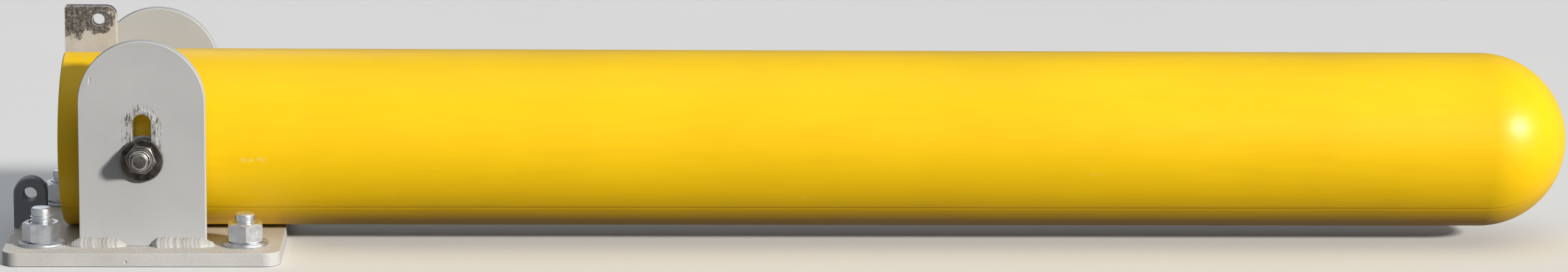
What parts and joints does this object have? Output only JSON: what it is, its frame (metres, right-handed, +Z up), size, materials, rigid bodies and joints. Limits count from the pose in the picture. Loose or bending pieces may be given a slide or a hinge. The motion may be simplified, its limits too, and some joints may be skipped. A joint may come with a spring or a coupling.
{
  "type": "delineator post",
  "caption": "Fold-down traffic post: a domed yellow sleeve over a steel tube, hinged between two slotted ears on a bolted base plate, with padlock tab and lug.",
  "frame": {"origin": "centre of the base plate's underside, on the ground, in the middle of the anchor pattern", "axes": "+X along the folded post towards its dome, +Y away from the ear that carries the lock nut, +Z up"},
  "size_m": [1.1286, 0.206, 0.2572],
  "materials": {
    "plate_paint": "dusty pale grey paint over steel",
    "ear_paint": "pale grey paint, scraped bright round the slot",
    "weld_paint": "rippled fillet bead under pale grey paint",
    "lug_paint": "pale grey paint with worn edges",
    "tab_paint": "worn grey paint, darker round the hole",
    "pipe_steel": "primed steel tube",
    "sleeve_yellow": "satin moulded polyethylene, safety yellow",
    "zinc": "bright zinc plate",
    "zinc_dull": "dull zinc plate, dusty",
    "dark_steel": "dark worn steel",
    "nylon": "grey nylon",
    "guide_plastic": "plain, hidden"
  },
  "bodies": {
    "base": {"base_plate": "plate_paint", "near_ear": "ear_paint", "far_ear": "ear_paint", "near_ear_welds": "weld_paint", "far_ear_welds": "weld_paint", "lock_lug": "lug_paint", "lock_lug_weld": "weld_paint", "anchor_studs": "zinc", "anchor_clips": "zinc_dull", "anchor_washers": "zinc_dull", "anchor_nuts": "zinc"},
    "guide": {"swing_guide": "guide_plastic"},
    "post": {"post_pipe": "pipe_steel", "post_sleeve": "sleeve_yellow", "lock_tab": "tab_paint", "lock_tab_weld": "weld_paint", "near_outer_washer": "dark_steel", "far_outer_washer": "dark_steel", "near_inner_washer": "zinc_dull", "far_inner_washer": "zinc_dull", "pivot_bolt": "dark_steel", "pivot_nut": "dark_steel", "pivot_nut_insert": "nylon"}
  },
  "joints": [
    {"name": "guide_turn", "type": "hinge", "parent": "base", "child": "guide", "pos_m": [0, 0, 0.0125], "axis": [0, -1, 0], "range_deg": [-90, 0]},
    {"name": "post_swing", "type": "hinge", "parent": "guide", "child": "post", "pos_m": [-0.029, 0, 0.0431], "axis": [0, -1, 0], "range_deg": [0, 180]}
  ],
  "couplings": [
    {"joint": "guide_turn", "follows": "post_swing", "ratio": -0.5}
  ]
}
